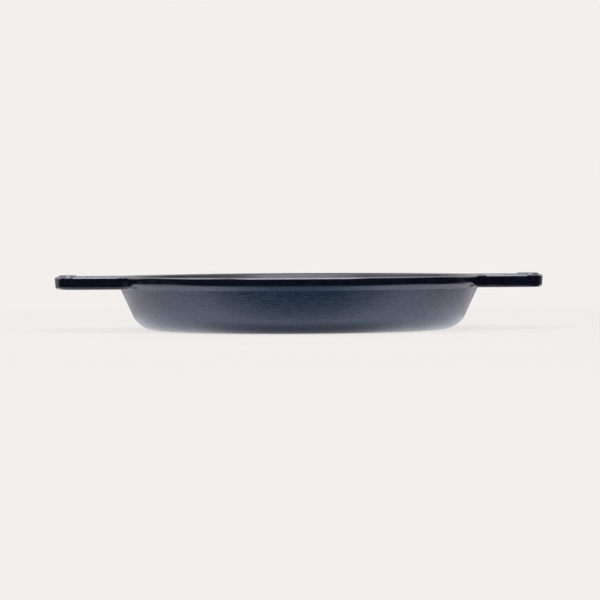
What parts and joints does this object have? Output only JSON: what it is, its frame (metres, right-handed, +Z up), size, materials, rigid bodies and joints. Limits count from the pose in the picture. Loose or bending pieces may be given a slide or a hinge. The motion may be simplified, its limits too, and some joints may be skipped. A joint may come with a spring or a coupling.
{
  "type": "shallow two-handled pan",
  "caption": "Shallow round enamelled cast iron pan with a leaning wall, a thickened rim and flat loop handles level with the rim, for the hob or oven.",
  "frame": {"origin": "middle of the base, on the surface that the pan stands on", "axes": "+X along the handles to the right one, +Y to the back, +Z up"},
  "size_m": [0.413, 0.31, 0.0467],
  "materials": {
    "cast_iron": "bare casting, inside the coats",
    "navy_enamel": "gloss, with a fine orange peel",
    "black_enamel": "satin"
  },
  "bodies": {
    "root": {"iron_bowl": "cast_iron", "iron_handle_left": "cast_iron", "iron_handle_right": "cast_iron", "base_enamel": "navy_enamel", "wall_enamel": "navy_enamel", "rim_enamel": "navy_enamel", "handle_enamel_left": "navy_enamel", "handle_enamel_right": "navy_enamel", "inner_enamel": "black_enamel"}
  },
  "joints": []
}
